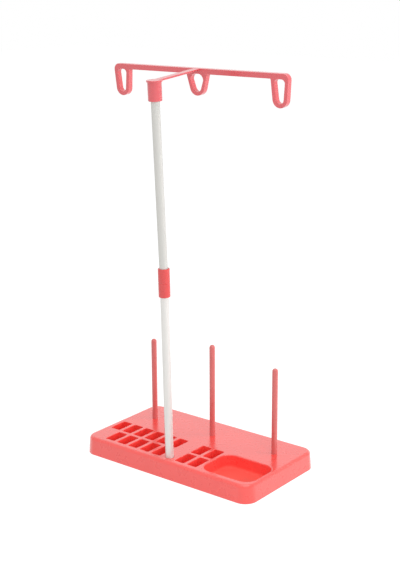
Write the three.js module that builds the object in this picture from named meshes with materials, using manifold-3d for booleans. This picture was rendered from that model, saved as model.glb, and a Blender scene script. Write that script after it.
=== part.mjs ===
// Thread spool stand: a moulded base with bobbin slots and a tray, three spool pins, a mast made
// of two tubes and a coupling sleeve, and a T-shaped thread guide with three hanging loops.
// Units are millimetres. +Z is up, +X runs along the base, and -Y is the side of the mast.

import * as THREE from "three";
import { mergeVertices } from "three/addons/utils/BufferGeometryUtils.js";
import Module from "manifold-3d";

const wasm = await Module();
wasm.setup();

// Base shell, open below
const BASE_HEIGHT = 16.6;
const BASE_CORNER_RADIUS = 12;
const BASE_DRAFT = 1;
const TOP_EDGE_RADIUS = 3;
const SHELL_WALL = 2;
const CORNER_STEPS = 6;
const EDGE_STEPS = 4;

// Bobbin slots: two rows of places at one pitch, with some places left blank
const SLOT_WIDTH = 10.2;
const SLOT_LENGTH = 19;
const SLOT_WEB = 3.58;
const SLOT_CORNER_RADIUS = 1;
const SLOT_BEVEL = 0.5;
const SLOT_FLOOR = 1.8;
const SLOT_UNDERSIDE = 3.8;
const SLOT_SIDE_MARGIN = 7.22;
const SLOT_FRONT_MARGIN = 7.82;
const MAST_PLACE = 6;
const REAR_PLACES = [0, 1, 2, 3, 4, 5, 7, 8];
const FRONT_PLACES = [1, 2, 3, 4, 5, 7, 8];

// Tray for small things, from the last slot to the right side
const TRAY_DEPTH = 42.8;
const TRAY_SLOT_GAP = 2.1;
const TRAY_SIDE_MARGIN = 4.4;
const TRAY_FRONT_MARGIN = 7.3;
const TRAY_CORNER_RADIUS = 12;
const TRAY_LIP_RADIUS = 1;
const TRAY_FLOOR_RADIUS = 2.5;
const TRAY_DRAFT = 1;
const TRAY_WALL = 1.6;
const TRAY_UNDERSIDE = 3;

// Spool pins in a row behind the slots, each pushed into a boss under the top
const PIN_DIAMETER = 5.2;
const PIN_SPACING = 70;
const PIN_ROW_GAP = 24.6;
const PIN_REAR_MARGIN = 31;
const SIDE_PIN_HEIGHT = 80.6;
const MIDDLE_PIN_HEIGHT = 88.5;
const PIN_CHAMFER = 0.6;
const BOSS_WALL = 2.2;
const BOSS_FLOOR = 1.6;
const PIN_BOSS_UNDERSIDE = 3;
const MAST_BOSS_UNDERSIDE = 2;

// Ribs under the top
const RIB_THICKNESS = 1.6;
const RIB_UNDERSIDE = 4;

// Mast: two tubes that meet in a sleeve, each leaning a little in its loose hole
const TUBE_DIAMETER = 7.4;
const TUBE_WALL = 1;
const MAST_FRONT_MARGIN = 11.6;
const LOWER_LEAN_DEG = 1.5;
const UPPER_KINK_DEG = 1.5;
const LOWER_REACH = 162;
const UPPER_REACH = 172.2;
const SLEEVE_WALL = 1.11;
const SLEEVE_LENGTH = 25.2;
const SLEEVE_LEDGE = 1.5;
const SLEEVE_CHAMFER = 0.6;

// Thread guide: socket, arm, cross bar and three loops, all one moulding
const SOCKET_WALL = 1.9;
const SOCKET_HEIGHT = 17;
const SOCKET_CAP = 3;
const SOCKET_HEAD_LIP = 0.8;
const ARM_REACH = 57.5;
const ARM_WIDTH = 7;
const ARM_THICKNESS = 1.6;
const ARM_RISE = 2.5;
const BAR_DEPTH = 5.3;
const BAR_HEIGHT = 4.6;
const BAR_CORNER_RADIUS = 5.2;
const LOOP_SPACING = 84.7;
const END_LOOP_WIDTH = 17.2;
const END_LOOP_DROP = 28;
const END_LOOP_LEG = 3.4;
const END_LOOP_FOOT = 3.4;
const END_FOOT_RADIUS = 7.2;
const END_HOLE_CORNER = 3.4;
const MIDDLE_LOOP_WIDTH = 22;
const MIDDLE_LOOP_DROP = 23.1;
const MIDDLE_LOOP_LEG = 4.2;
const MIDDLE_LOOP_FOOT = 3.1;
const MIDDLE_FOOT_RADIUS = 7.7;
const MIDDLE_HOLE_CORNER = 5.2;

// Clearances
const PIN_CLEARANCE = 0.3;
const TUBE_CLEARANCE = 0.34;
const SOCKET_CLEARANCE = 0.3;
const END_GAP = 0.3;

// How far a cutter runs past the face that it cuts
const CUT_MARGIN = 1;

// The base is as long and as deep as its slots, pins and margins make it
const SLOT_PITCH = SLOT_WIDTH + SLOT_WEB;
const BASE_LENGTH = 2 * (SLOT_SIDE_MARGIN + SLOT_WIDTH / 2 + MAST_PLACE * SLOT_PITCH);
const SLOT_ROWS_DEPTH = 2 * SLOT_LENGTH + SLOT_WEB;
const BASE_DEPTH = SLOT_FRONT_MARGIN + SLOT_ROWS_DEPTH + PIN_ROW_GAP + PIN_REAR_MARGIN;
const FRONT_SIDE = -BASE_DEPTH / 2;
const FRONT_ROW_Y = FRONT_SIDE + SLOT_FRONT_MARGIN + SLOT_LENGTH / 2;
const REAR_ROW_Y = FRONT_ROW_Y + SLOT_LENGTH + SLOT_WEB;
const SLOT_DROP = BASE_HEIGHT - SLOT_UNDERSIDE - SLOT_FLOOR;
const PIN_Y = BASE_DEPTH / 2 - PIN_REAR_MARGIN;
const PIN_HOLE_RADIUS = PIN_DIAMETER / 2 + PIN_CLEARANCE;
const PIN_HOLE_DEPTH = BASE_HEIGHT - PIN_BOSS_UNDERSIDE - BOSS_FLOOR;
const MAST_Y = FRONT_SIDE + MAST_FRONT_MARGIN;
const MAST_HOLE_DEPTH = BASE_HEIGHT - MAST_BOSS_UNDERSIDE - BOSS_FLOOR;
const TUBE_RADIUS = TUBE_DIAMETER / 2;
const TUBE_HOLE_RADIUS = TUBE_RADIUS + TUBE_CLEARANCE;
const TRAY_DROP = BASE_HEIGHT - TRAY_UNDERSIDE - TRAY_WALL;
const TRAY_LEFT = slotX(REAR_PLACES[REAR_PLACES.length - 1]) + SLOT_WIDTH / 2 + TRAY_SLOT_GAP;
const TRAY_RIGHT = BASE_LENGTH / 2 - TRAY_SIDE_MARGIN;
const TRAY_X = (TRAY_LEFT + TRAY_RIGHT) / 2;
const TRAY_Y = FRONT_SIDE + TRAY_FRONT_MARGIN + TRAY_DEPTH / 2;

// Loops: a round foot between two legs, with a hole whose foot shares its centre
const END_LOOP = {
  halfWidth: END_LOOP_WIDTH / 2,
  footRadius: END_FOOT_RADIUS,
  footZ: ARM_RISE - END_LOOP_DROP + END_FOOT_RADIUS,
  holeHalfWidth: END_LOOP_WIDTH / 2 - END_LOOP_LEG,
  holeFootRadius: END_FOOT_RADIUS - END_LOOP_FOOT,
  holeCorner: END_HOLE_CORNER,
};
const MIDDLE_LOOP = {
  halfWidth: MIDDLE_LOOP_WIDTH / 2,
  footRadius: MIDDLE_FOOT_RADIUS,
  footZ: ARM_RISE - MIDDLE_LOOP_DROP + MIDDLE_FOOT_RADIUS,
  holeHalfWidth: MIDDLE_LOOP_WIDTH / 2 - MIDDLE_LOOP_LEG,
  holeFootRadius: MIDDLE_FOOT_RADIUS - MIDDLE_LOOP_FOOT,
  holeCorner: MIDDLE_HOLE_CORNER,
};

const CORAL = 0xf4524d;
const METAL = 0xd9d7d1;

/** Returns the closed, merged solid of a geometry. */
function solidOf(geometry) {
  const bare = geometry.index ? geometry.clone() : mergeVertices(geometry);
  bare.deleteAttribute("normal");
  bare.deleteAttribute("uv");
  const merged = mergeVertices(bare, 1e-4);
  return new wasm.Manifold(new wasm.Mesh({
    numProp: 3,
    vertProperties: Float32Array.from(merged.attributes.position.array),
    triVerts: Uint32Array.from(merged.index.array),
  }));
}

/** Returns a flat-shaded geometry with the triangles of a solid. */
function geometryOf(solid) {
  const mesh = solid.getMesh();
  const indexed = new THREE.BufferGeometry();
  indexed.setAttribute("position", new THREE.Float32BufferAttribute(mesh.vertProperties, 3));
  indexed.setIndex(Array.from(mesh.triVerts));
  const flat = indexed.toNonIndexed();
  flat.computeVertexNormals();
  return flat;
}

/** Returns the corner points of a rounded rectangle about the origin, anticlockwise. */
function roundedOutline(length, depth, radius, steps) {
  const points = [];
  const corners = [[1, 1], [-1, 1], [-1, -1], [1, -1]];
  corners.forEach(([signX, signY], corner) => {
    for (let step = 0; step <= steps; step += 1) {
      const angle = (corner + step / steps) * Math.PI / 2;
      const x = signX * (length / 2 - radius) + radius * Math.cos(angle);
      const y = signY * (depth / 2 - radius) + radius * Math.sin(angle);
      points.push(new THREE.Vector2(x, y));
    }
  });
  return points;
}

/** Returns the solid between rounded rectangles stacked upwards: each has an inset and a z. */
function roundedStack(length, depth, radius, levels, steps) {
  const count = 4 * (steps + 1);
  const positions = [];
  levels.forEach(({ inset, z }) => {
    const outline = roundedOutline(length - 2 * inset, depth - 2 * inset, radius - inset, steps);
    outline.forEach((point) => positions.push(point.x, point.y, z));
  });
  const indices = [];
  for (let level = 0; level + 1 < levels.length; level += 1) {
    for (let i = 0; i < count; i += 1) {
      const a = level * count + i;
      const b = level * count + (i + 1) % count;
      indices.push(a, b, b + count, a, b + count, a + count);
    }
  }
  const top = (levels.length - 1) * count;
  for (let i = 1; i + 1 < count; i += 1) {
    indices.push(0, i + 1, i);
    indices.push(top, top + i, top + i + 1);
  }
  const geometry = new THREE.BufferGeometry();
  geometry.setAttribute("position", new THREE.Float32BufferAttribute(positions, 3));
  geometry.setIndex(indices);
  return solidOf(geometry);
}

/** Returns a box solid from its lowest and highest corners. */
function blockBetween([x0, y0, z0], [x1, y1, z1]) {
  const box = new THREE.BoxGeometry(x1 - x0, y1 - y0, z1 - z0);
  box.translate((x0 + x1) / 2, (y0 + y1) / 2, (z0 + z1) / 2);
  return solidOf(box);
}

/** Returns a geometry turned about +Z from a profile of [radius, z] points. */
function turned(profile, sides) {
  const points = profile.map(([radius, z]) => new THREE.Vector2(radius, z));
  return new THREE.LatheGeometry(points, sides).rotateX(Math.PI / 2);
}

/** Returns an upright round post as a solid. */
function post(x, y, radius, z0, z1, sides) {
  const geometry = turned([[0, z0], [radius, z0], [radius, z1], [0, z1]], sides);
  return solidOf(geometry.translate(x, y, 0));
}

/** Returns the levels of a wall that leans in and ends in a quarter-round edge at the top. */
function roundedTopLevels(draft, edge, z0, z1) {
  const levels = [{ inset: 0, z: z0 }];
  for (let step = 0; step <= EDGE_STEPS; step += 1) {
    const angle = step / EDGE_STEPS * Math.PI / 2;
    const inset = draft + edge * (1 - Math.cos(angle));
    levels.push({ inset, z: z1 - edge + edge * Math.sin(angle) });
  }
  return levels;
}

/** Returns the middle X of a slot place, counted from the left, with the mast's place at X = 0. */
function slotX(place) {
  return (place - MAST_PLACE) * SLOT_PITCH;
}

/** Returns the cutter of one bobbin slot, with a small bevel at its mouth. */
function slotCutter(x, y) {
  const outset = SLOT_BEVEL + CUT_MARGIN;
  const floor = BASE_HEIGHT - SLOT_DROP;
  const levels = [
    { inset: 0, z: floor },
    { inset: 0, z: BASE_HEIGHT - SLOT_BEVEL },
    { inset: -outset, z: BASE_HEIGHT + CUT_MARGIN },
  ];
  return roundedStack(SLOT_WIDTH, SLOT_LENGTH, SLOT_CORNER_RADIUS, levels, 2).translate([x, y, 0]);
}

/** Returns the block of material around a run of slot places in the rows from y0 to y1. */
function slotBlock(firstPlace, lastPlace, y0, y1) {
  const reachX = SLOT_WIDTH / 2 + SLOT_WEB / 2;
  const reachY = SLOT_LENGTH / 2 + SLOT_WEB / 2;
  return blockBetween(
    [slotX(firstPlace) - reachX, y0 - reachY, SLOT_UNDERSIDE],
    [slotX(lastPlace) + reachX, y1 + reachY, BASE_HEIGHT - SHELL_WALL / 2],
  );
}

/** Returns the solid between rounded rectangles stacked upwards on the tray's outline. */
function trayStack(levels) {
  const length = TRAY_RIGHT - TRAY_LEFT;
  const stack = roundedStack(length, TRAY_DEPTH, TRAY_CORNER_RADIUS, levels, CORNER_STEPS);
  return stack.translate([TRAY_X, TRAY_Y, 0]);
}

/** Returns the cutter of the tray: rounded lip, leaning wall and a rounded floor edge. */
function trayCutter() {
  const floor = BASE_HEIGHT - TRAY_DROP;
  const levels = [];
  for (let step = 0; step <= EDGE_STEPS; step += 1) {
    const angle = step / EDGE_STEPS * Math.PI / 2;
    const inset = TRAY_LIP_RADIUS + TRAY_DRAFT + TRAY_FLOOR_RADIUS * (1 - Math.sin(angle));
    levels.push({ inset, z: floor + TRAY_FLOOR_RADIUS * (1 - Math.cos(angle)) });
  }
  for (let step = 0; step <= EDGE_STEPS; step += 1) {
    const angle = step / EDGE_STEPS * Math.PI / 2;
    const inset = TRAY_LIP_RADIUS * Math.cos(angle);
    levels.push({ inset, z: BASE_HEIGHT - TRAY_LIP_RADIUS * (1 - Math.sin(angle)) });
  }
  levels.push({ inset: 0, z: BASE_HEIGHT + CUT_MARGIN });
  return trayStack(levels);
}

/** Returns the bowl of material that hangs below the top around the tray. */
function trayBowl() {
  const shoulder = TRAY_LIP_RADIUS + TRAY_DRAFT - TRAY_WALL;
  return trayStack([
    { inset: shoulder + TRAY_FLOOR_RADIUS, z: TRAY_UNDERSIDE },
    { inset: shoulder, z: TRAY_UNDERSIDE + TRAY_FLOOR_RADIUS },
    { inset: TRAY_LIP_RADIUS - TRAY_WALL, z: BASE_HEIGHT - SHELL_WALL / 2 },
  ]);
}

/** Returns the ribs that stiffen the top between the rear wall, the bosses and the front wall. */
function baseRibs() {
  const half = RIB_THICKNESS / 2;
  const top = BASE_HEIGHT - SHELL_WALL / 2;
  const endX = BASE_LENGTH / 2 - SHELL_WALL;
  const endY = BASE_DEPTH / 2 - SHELL_WALL;
  const rearOfSlots = REAR_ROW_Y + SLOT_LENGTH / 2;
  let ribs = blockBetween([-endX, PIN_Y - half, RIB_UNDERSIDE], [endX, PIN_Y + half, top]);
  [-PIN_SPACING, PIN_SPACING].forEach((x) => {
    const rib = blockBetween([x - half, rearOfSlots, RIB_UNDERSIDE], [x + half, endY, top]);
    ribs = ribs.add(rib);
  });
  return ribs.add(blockBetween([-half, -endY, RIB_UNDERSIDE], [half, endY, top]));
}

/** Returns the three X places of the spool pins. */
function pinPlaces() {
  return [-PIN_SPACING, 0, PIN_SPACING];
}

/** Returns the moulded base: shell, slot blocks, tray bowl, bosses and ribs, less the holes. */
function baseGeometry() {
  const outerLevels = roundedTopLevels(BASE_DRAFT, TOP_EDGE_RADIUS, 0, BASE_HEIGHT);
  const outer = roundedStack(BASE_LENGTH, BASE_DEPTH, BASE_CORNER_RADIUS, outerLevels, CORNER_STEPS);
  const innerLevels = [
    { inset: SHELL_WALL, z: -CUT_MARGIN },
    { inset: SHELL_WALL + BASE_DRAFT, z: BASE_HEIGHT - TOP_EDGE_RADIUS },
    { inset: BASE_DRAFT + TOP_EDGE_RADIUS, z: BASE_HEIGHT - SHELL_WALL },
  ];
  const inner = roundedStack(BASE_LENGTH, BASE_DEPTH, BASE_CORNER_RADIUS, innerLevels, CORNER_STEPS);

  const firstRear = REAR_PLACES[0];
  const firstFront = FRONT_PLACES[0];
  const blank = REAR_PLACES.findIndex((place, i) => place !== firstRear + i);
  const lastLeft = REAR_PLACES[blank - 1];
  const firstRight = REAR_PLACES[blank];
  const lastRight = REAR_PLACES[REAR_PLACES.length - 1];
  const bossTop = BASE_HEIGHT - SHELL_WALL / 2;
  const pinBossRadius = PIN_HOLE_RADIUS + BOSS_WALL;
  const mastBossRadius = TUBE_HOLE_RADIUS + BOSS_WALL;

  let inside = slotBlock(firstRear, lastLeft, REAR_ROW_Y, REAR_ROW_Y)
    .add(slotBlock(firstFront, lastLeft, FRONT_ROW_Y, REAR_ROW_Y))
    .add(slotBlock(firstRight, lastRight, FRONT_ROW_Y, REAR_ROW_Y))
    .add(trayBowl())
    .add(baseRibs())
    .add(post(0, MAST_Y, mastBossRadius, MAST_BOSS_UNDERSIDE, bossTop, 32));
  pinPlaces().forEach((x) => {
    inside = inside.add(post(x, PIN_Y, pinBossRadius, PIN_BOSS_UNDERSIDE, bossTop, 24));
  });

  let base = outer.subtract(inner).add(inside.intersect(outer));
  REAR_PLACES.forEach((place) => {
    base = base.subtract(slotCutter(slotX(place), REAR_ROW_Y));
  });
  FRONT_PLACES.forEach((place) => {
    base = base.subtract(slotCutter(slotX(place), FRONT_ROW_Y));
  });
  base = base.subtract(trayCutter());
  const above = BASE_HEIGHT + CUT_MARGIN;
  base = base.subtract(post(0, MAST_Y, TUBE_HOLE_RADIUS, BASE_HEIGHT - MAST_HOLE_DEPTH, above, 32));
  pinPlaces().forEach((x) => {
    base = base.subtract(post(x, PIN_Y, PIN_HOLE_RADIUS, BASE_HEIGHT - PIN_HOLE_DEPTH, above, 24));
  });
  return geometryOf(base);
}

/** Returns a spool pin with a chamfered foot and a round top, standing on z = 0. */
function pinGeometry(length) {
  const radius = PIN_DIAMETER / 2;
  const profile = [[0, 0], [radius - PIN_CHAMFER, 0], [radius, PIN_CHAMFER]];
  const steps = 5;
  for (let step = 0; step < steps; step += 1) {
    const angle = step / steps * Math.PI / 2;
    profile.push([radius * Math.cos(angle), length - radius + radius * Math.sin(angle)]);
  }
  profile.push([0, length]);
  return turned(profile, 24);
}

/** Returns a round tube that stands on z = 0. */
function tubeGeometry(length) {
  const bore = TUBE_RADIUS - TUBE_WALL;
  return turned([[bore, 0], [TUBE_RADIUS, 0], [TUBE_RADIUS, length], [bore, length], [bore, 0]], 32);
}

/** Returns the coupling sleeve about z = 0, with a ledge between its two sockets. */
function sleeveGeometry() {
  const outer = TUBE_HOLE_RADIUS + SLEEVE_WALL;
  const end = SLEEVE_LENGTH / 2;
  const ledge = SLEEVE_LEDGE / 2;
  const ledgeRadius = TUBE_RADIUS - TUBE_WALL;
  return turned([
    [TUBE_HOLE_RADIUS, -end],
    [outer - SLEEVE_CHAMFER, -end],
    [outer, SLEEVE_CHAMFER - end],
    [outer, end - SLEEVE_CHAMFER],
    [outer - SLEEVE_CHAMFER, end],
    [TUBE_HOLE_RADIUS, end],
    [TUBE_HOLE_RADIUS, ledge],
    [ledgeRadius, ledge],
    [ledgeRadius, -ledge],
    [TUBE_HOLE_RADIUS, -ledge],
    [TUBE_HOLE_RADIUS, -end],
  ], 32);
}

/** Returns the points of an arc about (x, z), from one angle to another. */
function arcPoints(x, z, radius, from, to, steps) {
  const points = [];
  for (let step = 0; step <= steps; step += 1) {
    const angle = from + (to - from) * step / steps;
    points.push(new THREE.Vector2(x + radius * Math.cos(angle), z + radius * Math.sin(angle)));
  }
  return points;
}

/** Returns the angle at which a leg from (halfWidth, rise) touches a round foot about the origin. */
function footTangent(halfWidth, rise, radius) {
  return Math.atan2(rise, halfWidth) - Math.acos(radius / Math.hypot(halfWidth, rise));
}

/** Returns a round foot at (x, footZ), right to left, tangent to legs that start at two heights. */
function footPoints(x, footZ, halfWidth, radius, rightZ, leftZ) {
  const right = footTangent(halfWidth, rightZ - footZ, radius);
  const left = footTangent(halfWidth, leftZ - footZ, radius);
  return arcPoints(x, footZ, radius, right, -Math.PI - left, 12);
}

/** Returns the outer edge of a loop at x, right to left, below the heights where its legs start. */
function loopEdge(x, loop, rightZ, leftZ) {
  return footPoints(x, loop.footZ, loop.halfWidth, loop.footRadius, rightZ, leftZ);
}

/** Returns the hole of the loop at x, anticlockwise: rounded upper corners and a round foot. */
function loopHole(x, loop) {
  const { holeHalfWidth, holeFootRadius, holeCorner } = loop;
  const inner = holeHalfWidth - holeCorner;
  const cornerZ = ARM_RISE - BAR_HEIGHT - holeCorner;
  const clockwise = [
    ...arcPoints(x + inner, cornerZ, holeCorner, Math.PI / 2, 0, 5),
    ...footPoints(x, loop.footZ, holeHalfWidth, holeFootRadius, cornerZ, cornerZ),
    ...arcPoints(x - inner, cornerZ, holeCorner, Math.PI, Math.PI / 2, 5),
  ];
  return new THREE.Path(clockwise.reverse());
}

/** Returns the cross bar with its three hanging loops, from a clockwise outline. */
function barSolid() {
  const under = ARM_RISE - BAR_HEIGHT;
  const cornerZ = ARM_RISE - BAR_CORNER_RADIUS;
  const end = LOOP_SPACING + END_LOOP.halfWidth - BAR_CORNER_RADIUS;
  const shape = new THREE.Shape([
    ...arcPoints(end, cornerZ, BAR_CORNER_RADIUS, Math.PI / 2, 0, 5),
    ...loopEdge(LOOP_SPACING, END_LOOP, cornerZ, under),
    new THREE.Vector2(LOOP_SPACING - END_LOOP.halfWidth, under),
    new THREE.Vector2(MIDDLE_LOOP.halfWidth, under),
    ...loopEdge(0, MIDDLE_LOOP, under, under),
    new THREE.Vector2(-MIDDLE_LOOP.halfWidth, under),
    new THREE.Vector2(END_LOOP.halfWidth - LOOP_SPACING, under),
    ...loopEdge(-LOOP_SPACING, END_LOOP, under, cornerZ),
    ...arcPoints(-end, cornerZ, BAR_CORNER_RADIUS, Math.PI, Math.PI / 2, 5),
  ]);
  shape.holes.push(
    loopHole(LOOP_SPACING, END_LOOP),
    loopHole(0, MIDDLE_LOOP),
    loopHole(-LOOP_SPACING, END_LOOP),
  );
  const bar = new THREE.ExtrudeGeometry(shape, { depth: BAR_DEPTH, bevelEnabled: false });
  bar.rotateX(Math.PI / 2);
  bar.translate(0, ARM_REACH + BAR_DEPTH / 2, 0);
  return solidOf(bar);
}

/** Returns the arm that rises from the socket head to the top of the bar. */
function armSolid() {
  const side = new THREE.Shape();
  side.moveTo(0, 0);
  side.lineTo(0, -ARM_THICKNESS);
  side.lineTo(ARM_REACH, ARM_RISE - ARM_THICKNESS);
  side.lineTo(ARM_REACH, ARM_RISE);
  side.closePath();
  const arm = new THREE.ExtrudeGeometry(side, { depth: ARM_WIDTH, bevelEnabled: false });
  arm.rotateX(Math.PI / 2);
  arm.rotateZ(Math.PI / 2);
  arm.translate(-ARM_WIDTH / 2, 0, 0);
  return solidOf(arm);
}

/** Returns the thread guide, with the middle of its socket's top at the origin. */
function guideGeometry() {
  const hole = TUBE_RADIUS + SOCKET_CLEARANCE;
  const outer = hole + SOCKET_WALL;
  const head = outer + SOCKET_HEAD_LIP;
  const socket = solidOf(turned([
    [0, -SOCKET_CAP],
    [hole, -SOCKET_CAP],
    [hole, -SOCKET_HEIGHT],
    [outer, -SOCKET_HEIGHT],
    [outer, -ARM_THICKNESS],
    [head, -ARM_THICKNESS],
    [head, 0],
    [0, 0],
  ], 32));
  return geometryOf(socket.add(armSolid()).add(barSolid()));
}

/** Returns a named mesh with a material of its own. */
function mesh(name, geometry, color, roughness, metalness) {
  const material = new THREE.MeshStandardMaterial({ color, roughness, metalness });
  const object = new THREE.Mesh(geometry, material);
  object.name = name;
  return object;
}

/** Returns a spool pin, standing in its hole. */
function spoolPin(name, x, height) {
  const seat = BASE_HEIGHT - PIN_HOLE_DEPTH + END_GAP;
  const pin = mesh(name, pinGeometry(BASE_HEIGHT + height - seat), CORAL, 0.35, 0);
  pin.position.set(x, PIN_Y, seat);
  return pin;
}

/** Returns the upper tube and the guide, in a group whose +Z runs along the upper tube. */
function upperMast(pivotHeight) {
  const upper = new THREE.Group();
  const foot = SLEEVE_LEDGE / 2 + END_GAP;
  const tubeTop = UPPER_REACH - SOCKET_CAP - END_GAP;
  const tube = mesh("upper_tube", tubeGeometry(tubeTop - foot), METAL, 0.25, 0.9);
  const guide = mesh("thread_guide", guideGeometry(), CORAL, 0.35, 0);
  tube.position.z = foot - pivotHeight;
  guide.position.z = UPPER_REACH - pivotHeight;
  upper.add(tube, guide);
  upper.rotation.x = THREE.MathUtils.degToRad(UPPER_KINK_DEG);
  return upper;
}

/** Returns the leaning mast, in a group whose +Z runs along the lower tube. */
function mast() {
  const group = new THREE.Group();
  const pivotDepth = MAST_HOLE_DEPTH / 2;
  const sleeveMiddle = pivotDepth + LOWER_REACH;
  const foot = END_GAP - pivotDepth;
  const head = sleeveMiddle - SLEEVE_LEDGE / 2 - END_GAP;
  const tube = mesh("lower_tube", tubeGeometry(head - foot), METAL, 0.25, 0.9);
  tube.position.z = foot;
  const sleeve = mesh("tube_connector", sleeveGeometry(), CORAL, 0.35, 0);
  sleeve.position.z = sleeveMiddle;
  const upperPivot = (SLEEVE_LENGTH + SLEEVE_LEDGE) / 4;
  const upper = upperMast(upperPivot);
  upper.position.z = sleeveMiddle + upperPivot;
  group.add(tube, sleeve, upper);
  group.position.set(0, MAST_Y, BASE_HEIGHT - pivotDepth);
  group.rotation.x = THREE.MathUtils.degToRad(LOWER_LEAN_DEG);
  return group;
}

const stand = new THREE.Group();
stand.add(
  mesh("base", baseGeometry(), CORAL, 0.35, 0),
  spoolPin("spool_pin_left", -PIN_SPACING, SIDE_PIN_HEIGHT),
  spoolPin("spool_pin_middle", 0, MIDDLE_PIN_HEIGHT),
  spoolPin("spool_pin_right", PIN_SPACING, SIDE_PIN_HEIGHT),
  mast(),
);

// The origin is below the middle of the whole stand, on the surface that it stands on
const extent = new THREE.Box3().setFromObject(stand, true);
stand.position.y = -(extent.min.y + extent.max.y) / 2;

export default stand;
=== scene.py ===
"""Looks of a thread spool stand: a coral moulding with bobbin slots, three pins and a leaning mast.

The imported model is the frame. Each of its nodes is replaced by a finer surface of the same size,
worked out with numpy, and dressed in a procedural finish. Sizes are in millimetres, and meshes in
metres, in the frame's own axes: +X along the base, -Y towards the mast, +Z up.
"""

import logging
import math
from dataclasses import dataclass
from enum import Enum

import bpy
import numpy as np
from bpy.types import Material, Node, NodeSocket, NodeTree, Object
from mathutils import Matrix, Vector
from mathutils.geometry import tessellate_polygon


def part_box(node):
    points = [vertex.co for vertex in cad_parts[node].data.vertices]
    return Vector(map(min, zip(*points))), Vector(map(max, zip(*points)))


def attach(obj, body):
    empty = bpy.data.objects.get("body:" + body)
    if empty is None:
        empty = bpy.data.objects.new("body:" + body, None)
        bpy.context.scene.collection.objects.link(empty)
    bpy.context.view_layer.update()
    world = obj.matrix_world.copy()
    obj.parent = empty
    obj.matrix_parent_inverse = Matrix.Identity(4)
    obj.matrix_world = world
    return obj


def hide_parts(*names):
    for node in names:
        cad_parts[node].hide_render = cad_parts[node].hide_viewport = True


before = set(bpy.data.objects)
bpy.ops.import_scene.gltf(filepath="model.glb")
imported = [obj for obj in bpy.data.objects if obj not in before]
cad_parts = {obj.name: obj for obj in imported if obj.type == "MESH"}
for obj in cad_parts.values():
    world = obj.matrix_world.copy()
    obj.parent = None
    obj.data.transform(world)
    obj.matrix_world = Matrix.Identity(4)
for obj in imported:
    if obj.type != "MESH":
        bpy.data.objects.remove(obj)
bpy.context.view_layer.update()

log = logging.getLogger("spool_stand")

Pair = tuple[float, float]
Triple = tuple[float, float, float]

MM = 0.001
QUARTER = math.pi / 2
WHITE = (1.0, 1.0, 1.0, 1.0)
# How far a cutter runs past the face that it cuts, in millimetres
CUT_MARGIN = 1.0


class Join(Enum):
    """How one solid is worked into another."""

    ADD = "UNION"
    CUT = "DIFFERENCE"


@dataclass
class Surface:
    """A closed surface in the making.

    Args:
        points: the corner points, n by 3, in millimetres.
        faces: arrays of corner numbers, each m by k for m faces of k corners.
    """

    points: np.ndarray
    faces: list[np.ndarray]

    def moved(self, offset: Triple) -> "Surface":
        """Returns the surface moved by an offset in millimetres."""
        return Surface(self.points + np.asarray(offset, float), self.faces)

    def placed(self, place: "Place") -> "Surface":
        """Returns the surface carried from a place's own axes into the frame's."""
        return Surface(place.carry(self.points), self.faces)

    def to_object(self, name: str) -> Object:
        """Puts the surface into a new mesh object.

        The corner numbers of all faces go in as one flat array, with each face's start and size.

        Args:
            name: the object's and the mesh's name.

        Returns:
            The new object, linked to the scene, with its place in its mesh.
        """
        corners = np.concatenate([group.ravel() for group in self.faces]).astype(np.int32)
        sizes = np.concatenate([np.full(len(group), group.shape[1]) for group in self.faces])
        starts = np.concatenate([[0], np.cumsum(sizes)[:-1]]).astype(np.int32)
        mesh = bpy.data.meshes.new(name)
        mesh.vertices.add(len(self.points))
        mesh.vertices.foreach_set("co", (self.points * MM).astype(np.float32).ravel())
        mesh.loops.add(len(corners))
        mesh.loops.foreach_set("vertex_index", corners)
        mesh.polygons.add(len(sizes))
        mesh.polygons.foreach_set("loop_start", starts)
        mesh.update(calc_edges=True)
        mesh.validate()
        piece = bpy.data.objects.new(name, mesh)
        bpy.context.scene.collection.objects.link(piece)
        return piece


@dataclass(frozen=True)
class Place:
    """The axes of a leaning sub-assembly, which leans in the plane of Y and Z.

    Args:
        origin: where its own origin lies in the frame, in millimetres.
        lean_deg: how far its own +Z leans towards -Y, in degrees.
    """

    origin: Triple
    lean_deg: float = 0.0

    def carry(self, points: np.ndarray) -> np.ndarray:
        """Returns points turned by the lean about X and moved to the origin."""
        lean = math.radians(self.lean_deg)
        turn = np.array([
            [1, 0, 0],
            [0, math.cos(lean), -math.sin(lean)],
            [0, math.sin(lean), math.cos(lean)],
        ])
        return points @ turn.T + np.asarray(self.origin, float)

    def further(self, along: float, kink_deg: float = 0.0) -> "Place":
        """Returns the place some millimetres further along its own +Z, with a kink added there."""
        origin = self.carry(np.array([[0.0, 0.0, along]]))[0]
        return Place(tuple(float(v) for v in origin), self.lean_deg + kink_deg)


def ring_quads(rings: int, count: int, closed: bool = False) -> np.ndarray:
    """Returns the quads between rings of points that run anticlockwise round +Z, outside out.

    Point i of ring r has the number r * count + i, and the last point joins the first.

    Args:
        rings: how many rings there are.
        count: how many points each ring has.
        closed: whether the last ring joins the first.

    Returns:
        The corner numbers, one row of four for each quad.
    """
    lower = np.arange(rings if closed else rings - 1)[:, None] * count
    upper = (lower + count) % (rings * count)
    near = np.arange(count)[None, :]
    far = (near + 1) % count
    return np.stack([lower + near, lower + far, upper + far, upper + near], axis=-1).reshape(-1, 4)


def stacked(rings: np.ndarray) -> Surface:
    """Returns a closed solid from rings stacked upwards, with a flat face at each end.

    Args:
        rings: level by point by 3, each ring anticlockwise round +Z.
    """
    levels, count, _ = rings.shape
    bottom = np.arange(count)[::-1][None, :]
    top = (levels - 1) * count + np.arange(count)[None, :]
    return Surface(rings.reshape(-1, 3), [ring_quads(levels, count), bottom, top])


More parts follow.
